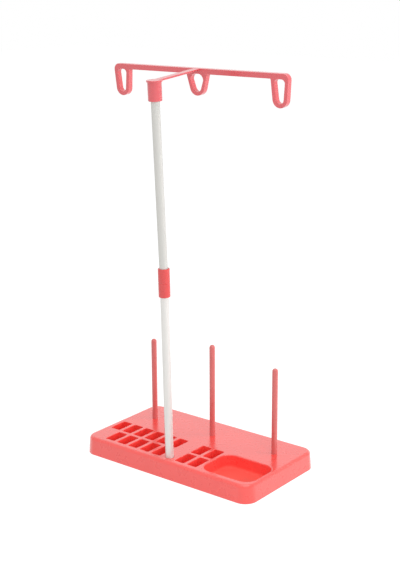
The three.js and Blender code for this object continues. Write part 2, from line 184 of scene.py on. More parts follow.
def turned(profile: np.ndarray, sides: int) -> Surface:
    """Returns a surface of revolution about +Z.

    Each profile point (r, z) becomes the ring (r cos t, r sin t, z). A first or last point on the
    axis closes the surface with a fan of triangles, and otherwise the last ring joins the first.

    Args:
        profile: points (radius, height), up the outside and down the inside.
        sides: how many points go round.
    """
    start_pole = profile[0, 0] == 0
    end_pole = profile[-1, 0] == 0
    body = profile[int(start_pole):len(profile) - int(end_pole)]
    angle = np.linspace(0, 2 * np.pi, sides, endpoint=False)
    rings = np.stack([
        np.outer(body[:, 0], np.cos(angle)),
        np.outer(body[:, 0], np.sin(angle)),
        np.repeat(body[:, 1:2], sides, axis=1),
    ], axis=-1)
    points = rings.reshape(-1, 3)
    if not (start_pole or end_pole):
        return Surface(points, [ring_quads(len(body), sides, closed=True)])
    near = np.arange(sides)
    far = (near + 1) % sides
    last = (len(body) - 1) * sides
    faces = [ring_quads(len(body), sides)]
    fans = ((start_pole, 0, (far, near)), (end_pole, -1, (last + near, last + far)))
    for is_pole, end, rim in fans:
        if is_pole:
            faces.append(np.stack([np.full(sides, len(points)), *rim], axis=-1))
            points = np.vstack([points, [[0, 0, profile[end, 1]]]])
    return Surface(points, faces)


def arc(x: float, z: float, radius: float, start: float, end: float, steps: int) -> np.ndarray:
    """Returns the points (x + r cos t, z + r sin t) of an arc, for t from start to end."""
    angle = np.linspace(start, end, steps + 1)
    return np.stack([x + radius * np.cos(angle), z + radius * np.sin(angle)], axis=-1)


def rounded_rings(size: Pair, radius: float, levels: np.ndarray, steps: int) -> np.ndarray:
    """Returns rounded rectangles about the origin, one for each level.

    A level (inset, z) pulls every side in by the inset and makes the corner radius smaller by as
    much. Each corner is a quarter circle about a centre that doesn't move.

    Args:
        size: length along X and depth along Y at inset 0.
        radius: the corner radius at inset 0.
        levels: rows of (inset, z), from the lowest up.
        steps: how many steps a corner has.
    """
    quarter = np.linspace(0, QUARTER, steps + 1)
    angle = (np.arange(4)[:, None] * QUARTER + quarter[None, :]).ravel()
    centre_x = np.repeat([1, -1, -1, 1], steps + 1) * (size[0] / 2 - radius)
    centre_y = np.repeat([1, 1, -1, -1], steps + 1) * (size[1] / 2 - radius)
    reach = radius - levels[:, :1]
    return np.stack([
        centre_x + reach * np.cos(angle),
        centre_y + reach * np.sin(angle),
        np.repeat(levels[:, 1:2], len(angle), axis=1),
    ], axis=-1)


def block(low: Triple, high: Triple) -> Surface:
    """Returns a box from its lowest to its highest corner, as two rings of four points."""
    (x0, y0, z0), (x1, y1, z1) = low, high
    outline = np.array([[x0, y0], [x1, y0], [x1, y1], [x0, y1]], float)
    return stacked(np.stack([np.column_stack([outline, np.full(4, z)]) for z in (z0, z1)]))


def post(x: float, y: float, radius: float, z0: float, z1: float, sides: int = 64) -> Surface:
    """Returns an upright round post."""
    profile = np.array([[0, z0], [radius, z0], [radius, z1], [0, z1]], float)
    return turned(profile, sides).moved((x, y, 0))


def worked(name: str, body: Surface, steps: list[tuple[Join, Surface]]) -> Object:
    """Adds solids to a body and cuts others from it, with Boolean modifiers that are then applied.

    Args:
        name: the finished object's name.
        body: the solid to start from.
        steps: what is done with each further solid, in order.

    Returns:
        The finished object, without modifiers.
    """
    piece = body.to_object(name)
    helpers = [solid.to_object(f"{name}_step") for _, solid in steps]
    for (join, _), helper in zip(steps, helpers):
        modifier = piece.modifiers.new(helper.name, "BOOLEAN")
        modifier.operation = join.value
        modifier.solver = "MANIFOLD"
        modifier.object = helper
    depsgraph = bpy.context.evaluated_depsgraph_get()
    mesh = bpy.data.meshes.new_from_object(piece.evaluated_get(depsgraph))
    rough = piece.data
    piece.modifiers.clear()
    piece.data = mesh
    mesh.name = name
    bpy.data.meshes.remove(rough)
    for helper in helpers:
        bpy.data.meshes.remove(helper.data)
    return piece


def smoothed(piece: Object, crease_deg: float = 32.0) -> Object:
    """Shades a piece smooth, with creases at sharp edges and normals that keep flat faces flat.

    Args:
        piece: the object to shade.
        crease_deg: the angle between two faces from which their edge is a crease.

    Returns:
        The same object.
    """
    mesh = piece.data
    mesh.shade_smooth()
    mesh.set_sharp_from_angle(angle=math.radians(crease_deg))
    weighted = piece.modifiers.new("flat_faces_lead", "WEIGHTED_NORMAL")
    weighted.mode = "FACE_AREA"
    weighted.keep_sharp = True
    return piece


class Nodes:
    """A short way to fill a node tree."""

    def __init__(self, tree: NodeTree) -> None:
        """Empties the tree and keeps it."""
        tree.nodes.clear()
        self.tree = tree

    def add(self, kind: str, *inputs: object, operation: str = "", **sockets: object) -> Node:
        """Adds a node, with its inputs set to values or linked to output sockets.

        Args:
            kind: the node's type, such as ShaderNodeTexNoise.
            inputs: what its first inputs get, in order.
            operation: its operation, where it has one.
            sockets: what inputs get by name, with underscores for spaces.

        Returns:
            The new node.
        """
        node = self.tree.nodes.new(kind)
        if operation:
            node.operation = operation
        named = {key.replace("_", " "): value for key, value in sockets.items()}
        for key, value in [*enumerate(inputs), *named.items()]:
            if isinstance(value, NodeSocket):
                self.tree.links.new(value, node.inputs[key])
            else:
                node.inputs[key].default_value = value
        return node

    def math(self, operation: str, *values: object) -> NodeSocket:
        """Returns the result of one sum on numbers or output sockets."""
        return self.add("ShaderNodeMath", *values, operation=operation).outputs["Value"]

    def ramp(self, factor: NodeSocket, stops: list[tuple[float, Triple]]) -> NodeSocket:
        """Returns the colour of a ramp between two (place, RGB) stops at a factor."""
        node = self.add("ShaderNodeValToRGB", Fac=factor)
        for element, (place, colour) in zip(node.color_ramp.elements, stops):
            element.position = place
            element.color = (*colour, 1.0)
        return node.outputs["Color"]

    def blend(self, share: NodeSocket, first: NodeSocket, second: Triple) -> NodeSocket:
        """Returns a colour blended into a second, RGB one by a share from 0 to 1."""
        node = self.add("ShaderNodeMixRGB", Fac=share, Color1=first, Color2=(*second, 1.0))
        return node.outputs["Color"]

    def spread(self, value: NodeSocket, middle: float, sway: float) -> NodeSocket:
        """Returns a value from 0 to 1 carried to the range of a sway about a middle."""
        ends = {"To_Min": middle - sway, "To_Max": middle + sway}
        return self.add("ShaderNodeMapRange", Value=value, **ends).outputs["Result"]

    def stretched(self, place: NodeSocket, share: float) -> NodeSocket:
        """Returns a place whose Z is made a share of itself, so that patterns stretch along Z."""
        node = self.add("ShaderNodeMapping", Vector=place, Scale=(1.0, 1.0, share))
        return node.outputs["Vector"]

    def noise(self, place: NodeSocket, width: float, detail: float) -> NodeSocket:
        """Returns a noise from 0 to 1 whose patches are about as wide as given, in millimetres."""
        node = self.add("ShaderNodeTexNoise", Vector=place, Scale=1.0 / (width * MM), Detail=detail)
        return node.outputs["Fac"]

    def bump(self, depth: float, strength: float, **sockets: NodeSocket) -> NodeSocket:
        """Returns the normal of a relief of some depth in millimetres, from its other sockets."""
        node = self.add("ShaderNodeBump", Distance=depth * MM, Strength=strength, **sockets)
        return node.outputs["Normal"]

    def shown(self, lit: NodeSocket, seen: NodeSocket) -> NodeSocket:
        """Returns a shader that lights the object as one, and shows to the eye as another.

        The eye's rays come from the camera, or from a glossy or clear surface.
        """
        ray = self.add("ShaderNodeLightPath").outputs
        eye = self.math("MAXIMUM", ray["Is Camera Ray"], ray["Is Glossy Ray"])
        eye = self.math("MAXIMUM", eye, ray["Is Transmission Ray"])
        return self.add("ShaderNodeMixShader", eye, lit, seen).outputs["Shader"]


def begun(name: str, colour: Triple) -> tuple[Material, Nodes]:
    """Returns a new material and its node tree, still empty."""
    material = bpy.data.materials.new(name)
    material.use_nodes = True
    material.diffuse_color = (*colour, 1.0)
    return material, Nodes(material.node_tree)


@dataclass(frozen=True)
class MouldedPlastic:
    """A glossy, solid-coloured moulded plastic.

    Args:
        name: the material's name.
        colour: its colour in linear light.
        polish: how much of a smooth outer skin lies over the plastic, from 0 to 1.
        floor_haze: how much more the gloss of sunken floors is blurred, as the mould is matt there.
        floor_painted_light: a paler colour painted on those floors: painted light, standing in for
            the light that they catch.
        floor_reach: how far they reach from the middle along X and Y, in millimetres.
        floor_rise: the heights at which they begin and end to turn into the walls.
        roughness: how much the gloss is blurred.
        sway: how far the colour wanders up and down, as a share.
    """

    name: str
    colour: Triple
    polish: float = 0.3
    floor_haze: float = 0.0
    floor_painted_light: Triple = (1.0, 1.0, 1.0)
    floor_reach: Pair = (90.0, 43.0)
    floor_rise: Pair = (6.0, 8.0)
    roughness: float = 0.28
    sway: float = 0.03

    def sunken(self, nodes: Nodes, place: NodeSocket) -> NodeSocket:
        """Returns 1 on the base's sunken floors and 0 elsewhere.

        It is the product of three masks: |x| and |y| under the floor's reach, and a step in height
        that falls from 1 to 0 over the floor's rise.
        """
        parts = nodes.add("ShaderNodeSeparateXYZ", Vector=place).outputs
        low, high = self.floor_rise
        ends = {"From_Min": high * MM, "From_Max": low * MM}
        mask = nodes.add("ShaderNodeMapRange", Value=parts["Z"], **ends).outputs["Result"]
        for axis, reach in zip("XY", self.floor_reach):
            inside = nodes.math("LESS_THAN", nodes.math("ABSOLUTE", parts[axis]), reach * MM)
            mask = nodes.math("MULTIPLY", mask, inside)
        return mask

    def build(self) -> Material:
        """Returns the material.

        The colour wanders as where a melt has flowed, the gloss is uneven over smaller patches, and
        a low ripple and a fine grain lie over the surface. A little light glows through it.
        """
        material, nodes = begun(self.name, self.colour)
        place = nodes.add("ShaderNodeTexCoord").outputs["Object"]
        dark = tuple(c * (1 - self.sway) for c in self.colour)
        light = tuple(min(1.0, c * (1 + self.sway)) for c in self.colour)
        flow = nodes.noise(place, width=30.0, detail=3.0)
        colour = nodes.ramp(flow, [(0.3, dark), (0.7, light)])
        patches = nodes.noise(place, width=8.0, detail=4.0)
        haze = nodes.spread(patches, middle=self.roughness, sway=0.05)
        polish = self.polish
        if self.floor_haze:
            sunken = self.sunken(nodes, place)
            # Painted light: the sunken floors get a paler colour that stands in for the light they
            # catch; their blurred gloss below is real roughness.
            colour = nodes.blend(sunken, colour, self.floor_painted_light)
            haze = nodes.math("MULTIPLY_ADD", sunken, self.floor_haze, haze)
            polish = nodes.math("MULTIPLY_ADD", sunken, -self.polish, self.polish)
        waves = nodes.noise(place, width=6.0, detail=1.0)
        ripple = nodes.bump(depth=0.02, strength=0.2, Height=waves)
        grains = nodes.noise(place, width=0.35, detail=2.0)
        grain = nodes.bump(depth=0.004, strength=0.5, Height=grains, Normal=ripple)
        shader = nodes.add(
            "ShaderNodeBsdfPrincipled", Base_Color=colour, Roughness=haze, Normal=grain, IOR=1.55,
            Coat_Weight=polish, Coat_Roughness=0.2, Coat_IOR=1.5, Subsurface_Weight=0.05,
            Subsurface_Radius=(0.0012, 0.0004, 0.0003), Subsurface_Scale=1.0,
        )
        nodes.add("ShaderNodeOutputMaterial", Surface=shader.outputs["BSDF"])
        return material


@dataclass(frozen=True)
class DrawnMetal:
    """A bright tube that was drawn through a die, with fine lines along its length.

    Args:
        name: the material's name.
        colour: its colour in linear light.
        lean_deg: how far the tube leans towards -Y, so that the lines run along it.
        roughness: how much its reflections are blurred.
        line_shade: the colour of the lines, as a share of the tube's.
    """

    name: str
    colour: Triple
    lean_deg: float
    roughness: float = 0.42
    line_shade: float = 0.93

    def build(self) -> Material:
        """Returns the material.

        A noise that is stretched eighty times along the tube gives the lines of the die, and a
        second one, stretched less, clouds the gloss.
        """
        material, nodes = begun(self.name, self.colour)
        place = nodes.add("ShaderNodeTexCoord").outputs["Object"]
        turn = (-math.radians(self.lean_deg), 0.0, 0.0)
        upright = nodes.add("ShaderNodeMapping", Vector=place, Rotation=turn).outputs["Vector"]
        lines = nodes.noise(nodes.stretched(upright, share=0.0125), width=0.25, detail=3.0)
        clouds = nodes.noise(nodes.stretched(upright, share=0.3), width=5.0, detail=4.0)
        dark = tuple(c * self.line_shade for c in self.colour)
        shader = nodes.add(
            "ShaderNodeBsdfPrincipled", Metallic=0.3,
            Base_Color=nodes.ramp(lines, [(0.35, dark), (0.65, self.colour)]),
            Roughness=nodes.spread(clouds, middle=self.roughness, sway=0.06),
            Normal=nodes.bump(depth=0.006, strength=0.5, Height=lines),
        )
        nodes.add("ShaderNodeOutputMaterial", Surface=shader.outputs["BSDF"])
        return material


def dress(piece: Object, finish: Material, body: str, slot: str, *nodes: str) -> None:
    """Gives a piece its finish, and ties it to the frame.

    Args:
        piece: the finished object.
        finish: its material.
        body: the body of the frame that it moves with.
        slot: the record's material slot; not used.
        nodes: the nodes of the frame that it stands for.
    """
    piece.data.materials.clear()
    piece.data.materials.append(finish)
    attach(piece, body)
    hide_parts(*nodes)
    faces = len(piece.data.polygons)
    log.info("%s: %d faces, on %s, for %s", piece.name, faces, body, ", ".join(nodes))


@dataclass(frozen=True)
class Base:
    """The moulded base: a low shell with bobbin slots, a tray, bosses and ribs."""

    length: float = 190.0
    depth: float = 105.0
    height: float = 16.6
    corner_radius: float = 12.0
    draft: float = 1.0
    top_edge: float = 3.0
    rim_edge: float = 0.5
    wall: float = 2.0
    slot_width: float = 10.2
    slot_length: float = 19.0
    slot_web: float = 3.58
    slot_corner: float = 1.0
    slot_lip: float = 0.5
    slot_floor_edge: float = 0.7
    slot_floor_z: float = 5.6
    slot_underside: float = 3.8
    rear_row_y: float = -12.6
    front_row_y: float = -35.18
    mast_place: int = 6
    rear_places: tuple[int, ...] = (0, 1, 2, 3, 4, 5, 7, 8)
    front_places: tuple[int, ...] = (1, 2, 3, 4, 5, 7, 8)
    tray_low: Pair = (34.76, -45.2)
    tray_high: Pair = (90.6, -2.4)
    tray_corner: float = 12.0
    tray_lip: float = 1.0
    tray_draft: float = 1.0
    tray_floor_edge: float = 2.5
    tray_floor_z: float = 4.6
    tray_wall: float = 1.6
    pin_spacing: float = 70.0
    pin_y: float = 21.5
    pin_hole: float = 2.65
    pin_floor_z: float = 4.6
    mast_y: float = -40.9
    mast_hole: float = 4.04
    mast_floor_z: float = 3.6
    boss_wall: float = 2.2
    boss_floor: float = 1.6
    rib: float = 1.6
    rib_underside: float = 4.0
    corner_steps: int = 20

    @property
    def inside_top(self) -> float:
        """Returns the height, half of a wall below the top, up to which hanging forms reach."""
        return self.height - self.wall / 2

    def on_base(self, levels: np.ndarray) -> Surface:
        """Returns rounded rectangles stacked on the base's outline."""
        size = (self.length, self.depth)
        return stacked(rounded_rings(size, self.corner_radius, levels, self.corner_steps))

    def shell(self) -> Surface:
        """Returns the outer form: a leaning wall from a fine rim to a quarter-round top edge.

        The top edge starts where its own slope is the wall's, so that the two run into each other.
        """
        rim, edge = self.rim_edge, self.top_edge
        slope = math.atan(self.draft / (self.height - edge))
        return self.on_base(np.vstack([
            arc(rim, rim, rim, -QUARTER, -math.pi, steps=4),
            arc(self.draft + edge, self.height - edge, edge, math.pi - slope, QUARTER, steps=10),
        ]))

    def hollow(self) -> Surface:
        """Returns the space inside the shell, open below and sloped under the top edge."""
        return self.on_base(np.array([
            [self.wall, -CUT_MARGIN],
            [self.wall + self.draft, self.height - self.top_edge],
            [self.draft + self.top_edge, self.height - self.wall],
        ]))

    def slot_x(self, place: int) -> float:
        """Returns the middle X of a slot place, with the mast's own place at X = 0."""
        return (place - self.mast_place) * (self.slot_width + self.slot_web)

    def slot(self, place: int, row_y: float) -> Surface:
        """Returns the space of one slot, with a rounded floor edge and a lip that flares.

        The lip's centre lies in the material, so the slot widens by lip * (1 - cos t) as it rises.
        """
        floor, lip = self.slot_floor_edge, self.slot_lip
        levels = np.vstack([
            arc(floor, self.slot_floor_z + floor, floor, -QUARTER, -math.pi, steps=4),
            arc(-lip, self.height - lip, lip, 0.0, QUARTER, steps=4),
            [[-lip, self.height + CUT_MARGIN]],
        ])
        size = (self.slot_width, self.slot_length)
        rings = rounded_rings(size, self.slot_corner, levels, steps=5)
        return stacked(rings).moved((self.slot_x(place), row_y, 0))

    def slot_block(self, first: int, last: int, y0: float, y1: float) -> Surface:
        """Returns the material round the slots from one place to another, in the rows y0 to y1."""
        reach_x = (self.slot_width + self.slot_web) / 2
        reach_y = (self.slot_length + self.slot_web) / 2
        return block(
            (self.slot_x(first) - reach_x, y0 - reach_y, self.slot_underside),
            (self.slot_x(last) + reach_x, y1 + reach_y, self.inside_top),
        )

    def on_tray(self, levels: np.ndarray) -> Surface:
        """Returns rounded rectangles stacked on the tray's outline."""
        (x0, y0), (x1, y1) = self.tray_low, self.tray_high
        rings = rounded_rings((x1 - x0, y1 - y0), self.tray_corner, levels, self.corner_steps)
        return stacked(rings).moved(((x0 + x1) / 2, (y0 + y1) / 2, 0))

    def tray_space(self) -> Surface:
        """Returns the tray's space: a rounded floor edge, a leaning wall and a rounded lip."""
        lip, edge = self.tray_lip, self.tray_floor_edge
        inset = lip + self.tray_draft + edge
        return self.on_tray(np.vstack([
            arc(inset, self.tray_floor_z + edge, edge, -QUARTER, -math.pi, steps=8),
            arc(0.0, self.height - lip, lip, 0.0, QUARTER, steps=8),
            [[0.0, self.height + CUT_MARGIN]],
        ]))

    def tray_bowl(self) -> Surface:
        """Returns the material that hangs below the top round the tray."""
        shoulder = self.tray_lip + self.tray_draft - self.tray_wall
        underside = self.tray_floor_z - self.tray_wall
        return self.on_tray(np.array([
            [shoulder + self.tray_floor_edge, underside],
            [shoulder, underside + self.tray_floor_edge],
            [self.tray_lip - self.tray_wall, self.inside_top],
        ]))

    def ribs(self) -> list[Surface]:
        """Returns the ribs that run under the top from wall to wall and to the slots."""
        half = self.rib / 2
        low, top = self.rib_underside, self.inside_top
        end_x, end_y = self.length / 2 - self.wall, self.depth / 2 - self.wall
        rear_of_slots = self.rear_row_y + self.slot_length / 2
        along = block((-end_x, self.pin_y - half, low), (end_x, self.pin_y + half, top))
        short = [
            block((x - half, rear_of_slots, low), (x + half, end_y, top))
            for x in (-self.pin_spacing, self.pin_spacing)
        ]
        return [along, *short, block((-half, -end_y, low), (half, end_y, top))]

    def build(self) -> Object:
        """Returns the whole moulding as one closed mesh, in the frame's place of the base."""
        left_end, right_start = self.mast_place - 1, self.mast_place + 1
        front, rear = self.front_row_y, self.rear_row_y
        holes = [(0.0, self.mast_y, self.mast_hole, self.mast_floor_z)]
        holes += [
            (x, self.pin_y, self.pin_hole, self.pin_floor_z)
            for x in (-self.pin_spacing, 0.0, self.pin_spacing)
        ]
        added = [
            self.slot_block(self.rear_places[0], left_end, rear, rear),
            self.slot_block(self.front_places[0], left_end, front, rear),
            self.slot_block(right_start, self.rear_places[-1], front, rear),
            self.tray_bowl(),
            *self.ribs(),
            *(post(x, y, radius + self.boss_wall, floor - self.boss_floor, self.inside_top)
              for x, y, radius, floor in holes),
        ]
        cut = [
            *(self.slot(place, rear) for place in self.rear_places),
            *(self.slot(place, front) for place in self.front_places),
            self.tray_space(),
            *(post(x, y, radius, floor, self.height + CUT_MARGIN) for x, y, radius, floor in holes),
        ]
        low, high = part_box("base")
        offset = (0.0, (low[1] + high[1]) / 2 / MM, 0.0)
        stages = ((Join.CUT, [self.hollow()]), (Join.ADD, added), (Join.CUT, cut))
        steps = [(join, solid.moved(offset)) for join, solids in stages for solid in solids]
        return smoothed(worked("base_moulding", self.shell().moved(offset), steps))


@dataclass(frozen=True)
class SpoolPin:
    """A round plastic pin with a chamfered foot and a round top.

    Args:
        node: the frame's node that it stands for.
        body: the frame's body that it moves with.
    """

    node: str
    body: str
    diameter: float = 5.2
    chamfer: float = 0.6
    sides: int = 64

    def build(self) -> Object:
        """Returns the pin, as long as its node and in its place: a line turned about its axis."""
        low, high = (np.array(corner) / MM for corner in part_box(self.node))
        radius = self.diameter / 2
        length = high[2] - low[2]
        top = arc(0.0, length - radius, radius, 0.0, QUARTER, steps=16)
        top[-1, 0] = 0.0
        foot = np.array([[0.0, 0.0], [radius - self.chamfer, 0.0], [radius, self.chamfer]])
        place = ((low[0] + high[0]) / 2, (low[1] + high[1]) / 2, low[2])
        pin = turned(np.vstack([foot, top]), self.sides).moved(place)
        return smoothed(pin.to_object(f"{self.node}_moulding"))


@dataclass(frozen=True)
class Tube:
    """A round metal tube whose end edges are broken by a small round.

    Args:
        name: the piece's name.
        foot: where it starts along its place's +Z, in millimetres.
        head: where it ends.
    """

    name: str
    foot: float
    head: float
    diameter: float = 7.4
    wall: float = 1.0
    edge: float = 0.25
    sides: int = 96

    def build(self, place: Place) -> Object:
        """Returns the tube at a place: up its outside, over the end, and down its bore."""
        radius, edge = self.diameter / 2, self.edge
        outside, inside = radius - edge, radius - self.wall + edge
        foot, head = self.foot + edge, self.head - edge
        corners = ((outside, foot), (outside, head), (inside, head), (inside, foot))
        profile = np.vstack([
            arc(r, z, edge, (turn - 1) * QUARTER, turn * QUARTER, steps=4)
            for turn, (r, z) in enumerate(corners)
        ])
        return smoothed(turned(profile, self.sides).placed(place).to_object(self.name))


@dataclass(frozen=True)
class Sleeve:
    """The plastic sleeve that couples the two tubes, with a ledge between its sockets."""

    hole: float = 4.04
    wall: float = 1.11
    length: float = 25.2
    ledge: float = 1.5
    ledge_bore: float = 2.7
    edge: float = 0.5
    witness_depth: float = 0.25
    witness_width: float = 0.55
    sides: int = 96

    def build(self, place: Place) -> Object:
        """Returns the sleeve at a place.

        A fine witness line runs round its middle: a shallow half wave in the outer radius.
        """
        outer, end, half, edge = self.hole + self.wall, self.length / 2, self.ledge / 2, self.edge
        wave = np.linspace(-1, 1, num=9)
        line = np.column_stack([
            outer - self.witness_depth * (1 + np.cos(wave * np.pi)) / 2,
            wave * self.witness_width,
        ])
        profile = np.vstack([
            [[self.hole, -end]],
            arc(outer - edge, edge - end, edge, -QUARTER, 0.0, steps=5),
            line,
            arc(outer - edge, end - edge, edge, 0.0, QUARTER, steps=5),
            [[self.hole, end], [self.hole, half], [self.ledge_bore, half],
             [self.ledge_bore, -half], [self.hole, -half]],
        ])
        return smoothed(turned(profile, self.sides).placed(place).to_object("connector_sleeve"))


@dataclass(frozen=True)
class Loop:
    """A loop that hangs from the cross bar: two straight legs, a round foot, and a hole to match.

    Args:
        width: how wide it is where it leaves the bar, in millimetres.
        drop: how far it reaches below the bar's top.
        leg: how much of the width each leg takes.
        foot: how thick it is at its lowest point.
        foot_radius: the outer radius of its foot.
        hole_corner: the radius of its hole's upper corners.
    """

    width: float
    drop: float
    leg: float
    foot: float
    foot_radius: float
    hole_corner: float

    @property
    def half(self) -> float:
        """Returns half of the width."""
        return self.width / 2

    def foot_z(self, top: float) -> float:
        """Returns the height of the foot's centre under a bar whose top is at a height."""
        return top - self.drop + self.foot_radius

    @staticmethod
    def touch(half: float, rise: float, radius: float) -> float:
        """Returns the angle at which a leg from (half, rise) touches a circle at the origin."""
        return math.atan2(rise, half) - math.acos(radius / math.hypot(half, rise))

    def foot_arc(self, x: float, z: float, half: float, radius: float, starts: Pair) -> np.ndarray:
        """Returns a round foot at (x, z) from left to right.

        Args:
            x: the foot's middle.
            z: the height of its centre.
            half: half of the width between the legs' upper ends.
            radius: the foot's radius.
            starts: the heights of the left and of the right leg's upper end.
        """
        left, right = (self.touch(half, start - z, radius) for start in starts)
        return arc(x, z, radius, -math.pi - left, right, steps=28)

    def edge(self, x: float, top: float, starts: Pair) -> np.ndarray:
        """Returns the loop's outer edge from left to right, below the ends of its legs."""
        return self.foot_arc(x, self.foot_z(top), self.half, self.foot_radius, starts)

    def hole(self, x: float, top: float, under: float) -> np.ndarray:
        """Returns the hole in (x, z), clockwise, with its foot about the outer foot's centre."""
        half, r = self.half - self.leg, self.hole_corner
        z, radius = under - r, self.foot_radius - self.foot
        anticlockwise = np.vstack([
            arc(x - half + r, z, r, QUARTER, math.pi, steps=12),
            self.foot_arc(x, self.foot_z(top), half, radius, (z, z)),
            arc(x + half - r, z, r, 0.0, QUARTER, steps=12),
        ])
        return anticlockwise[::-1]


def filleted(
    before: np.ndarray, corner: np.ndarray, after: np.ndarray, radius: float,
) -> np.ndarray:
    """Returns the arc that rounds a corner between two straight edges and is tangent to both.

    The arc's centre lies on the line that halves the angle, at radius / sin(half of the angle).
    """
    back = (before - corner) / np.linalg.norm(before - corner)
    on = (after - corner) / np.linalg.norm(after - corner)
    half = math.acos(float(back @ on)) / 2
    centre = corner + (back + on) / np.linalg.norm(back + on) * radius / math.sin(half)
    start = corner + back * radius / math.tan(half) - centre
    end = corner + on * radius / math.tan(half) - centre
    first = math.atan2(start[1], start[0])
    turn = (math.atan2(end[1], end[0]) - first + math.pi) % (2 * math.pi) - math.pi
    return arc(*centre, radius, first, first + turn, steps=6)


@dataclass(frozen=True)
class ThreadGuide:
    """The thread guide: a socket, a rising arm, and a cross bar with three hanging loops.

    Its own origin is the middle of the socket's top, and its arm runs along its own +Y.
    """

    hole: float = 4.0
    socket_wall: float = 1.9
    socket_height: float = 17.0
    socket_cap: float = 3.0
    head_lip: float = 0.8
    arm_reach: float = 57.5
    arm_width: float = 7.0
    arm_thickness: float = 1.6
    arm_rise: float = 2.5
    bar_depth: float = 5.3
    bar_height: float = 4.6
    bar_corner: float = 5.2
    loop_spacing: float = 84.7
    end_loop: Loop = Loop(
        width=17.2, drop=28.0, leg=3.4, foot=3.4, foot_radius=7.2, hole_corner=3.4)
    middle_loop: Loop = Loop(
        width=22.0, drop=23.1, leg=4.2, foot=3.1, foot_radius=7.7, hole_corner=5.2)
    flare: float = 0.9
    edge: float = 0.35
    arm_edge: float = 0.45
    sides: int = 96

    def outline(self) -> np.ndarray:
        """Returns the bar's and the loops' outer outline in (x, z), anticlockwise.

        Each corner between a leg and the bar's underside is filled by a small arc, the flare.
        """
        top, under = self.arm_rise, self.arm_rise - self.bar_height
        corner_z = top - self.bar_corner
        x, side, middle = self.loop_spacing, self.end_loop, self.middle_loop
        end = x + side.half - self.bar_corner
        left = side.edge(-x, top, (corner_z, under))
        hanging = middle.edge(0.0, top, (under, under))
        right = side.edge(x, top, (under, corner_z))
        reaches = (side.half - x, -middle.half, middle.half, x - side.half)
        corners = np.array([[reach, under] for reach in reaches])
        gaps = ((left[-1], *corners[:2], hanging[0]), (hanging[-1], *corners[2:], right[0]))
        flares = [
            np.vstack([filleted(a, b, c, self.flare), filleted(b, c, d, self.flare)])
            for a, b, c, d in gaps
        ]
        return np.vstack([
            arc(-end, corner_z, self.bar_corner, QUARTER, math.pi, steps=14),
            left, flares[0], hanging, flares[1], right,
            arc(end, corner_z, self.bar_corner, 0.0, QUARTER, steps=14),
        ])

    @staticmethod
    def inset(outline: np.ndarray, distance: float) -> np.ndarray:
        """Returns an outline moved into the material on its left.

        Each corner moves along the sum of its two edge normals, divided by one plus their dot
        product, which keeps every edge at the same distance.
        """
        ahead = np.roll(outline, -1, axis=0) - outline
        ahead /= np.linalg.norm(ahead, axis=1, keepdims=True)
        normal = np.stack([-ahead[:, 1], ahead[:, 0]], axis=-1)
        before = np.roll(normal, 1, axis=0)
        share = 1 + np.sum(normal * before, axis=1, keepdims=True)
        return outline + distance * (normal + before) / share

    def bar(self) -> Surface:
        """Returns the bar and its loops: the outlines carried along Y, with rounded edges.

        Towards each face the outlines draw in by edge * (1 - sin t) while they run out to the face
        by edge * cos t. The two flat faces are filled with triangles between the same points.
        """
        top, under, spacing = self.arm_rise, self.arm_rise - self.bar_height, self.loop_spacing
        outlines = [
            self.outline(),
            self.end_loop.hole(-spacing, top, under),
            self.middle_loop.hole(0.0, top, under),
            self.end_loop.hole(spacing, top, under),
        ]
        turn = np.linspace(0, QUARTER, num=5)
        draw_in = self.edge * (1 - np.sin(turn))
        run_out = self.bar_depth / 2 - self.edge + self.edge * np.cos(turn)
        drawn = np.concatenate([draw_in, draw_in[::-1]])
        y = np.concatenate([-run_out, run_out[::-1]]) + self.arm_reach
        points, faces, first = [], [], 0
        flat, front, back = [], [], []
        for outline in outlines:
            count = len(outline)
            rings = np.stack([self.inset(outline, distance) for distance in drawn])
            depth = np.repeat(y[:, None], count, axis=1)
            points.append(np.stack([rings[..., 0], depth, rings[..., 1]], axis=-1).reshape(-1, 3))
            faces.append(ring_quads(len(y), count)[:, ::-1] + first)
            flat.append(rings[0])
            front.append(first + np.arange(count))
            first += len(y) * count
            back.append(first - count + np.arange(count))
        fill = np.array(tessellate_polygon([[Vector((x, z, 0)) for x, z in ring] for ring in flat]))
        a, b, c = (np.vstack(flat)[fill[:, corner]] for corner in range(3))
        area = (b[:, 0] - a[:, 0]) * (c[:, 1] - a[:, 1]) - (b[:, 1] - a[:, 1]) * (c[:, 0] - a[:, 0])
        fill = fill[:, ::-1] if area.sum() < 0 else fill
        faces += [np.concatenate(front)[fill], np.concatenate(back)[fill][:, ::-1]]
        return Surface(np.vstack(points), faces)

    def arm(self) -> Surface:
        """Returns the arm: a flat section with rounded edges, carried from the socket to the bar.

        The section is a rounded rectangle in (x, z) whose middle rises in step with its y.
        """
        size = (self.arm_width, self.arm_thickness)
        section = rounded_rings(size, self.arm_edge, np.zeros((1, 2)), steps=5)[0]
        y = np.array([0.0, self.arm_reach])
        rise = self.arm_rise * y / self.arm_reach - self.arm_thickness / 2
        rings = np.stack([
            np.column_stack([section[:, 0], np.full(len(section), at), section[:, 1] + up])
            for at, up in zip(y, rise)
        ])
        return stacked(rings[::-1])

    def socket(self) -> Surface:
        """Returns the socket: a blind round cup that opens downwards, with a lip round its head."""
        outer, edge = self.hole + self.socket_wall, self.edge
        head = outer + self.head_lip
        cap, low, under = -self.socket_cap, -self.socket_height, -self.arm_thickness
        profile = np.vstack([
            [[0.0, cap], [self.hole, cap], [self.hole, low]],
            arc(outer - edge, edge + low, edge, -QUARTER, 0.0, steps=5),
            [[outer, under]],
            arc(head - edge, edge + under, edge, -QUARTER, 0.0, steps=5),
            arc(head - edge, -edge, edge, 0.0, QUARTER, steps=5),
            [[0.0, 0.0]],
        ])
        return turned(profile, self.sides)

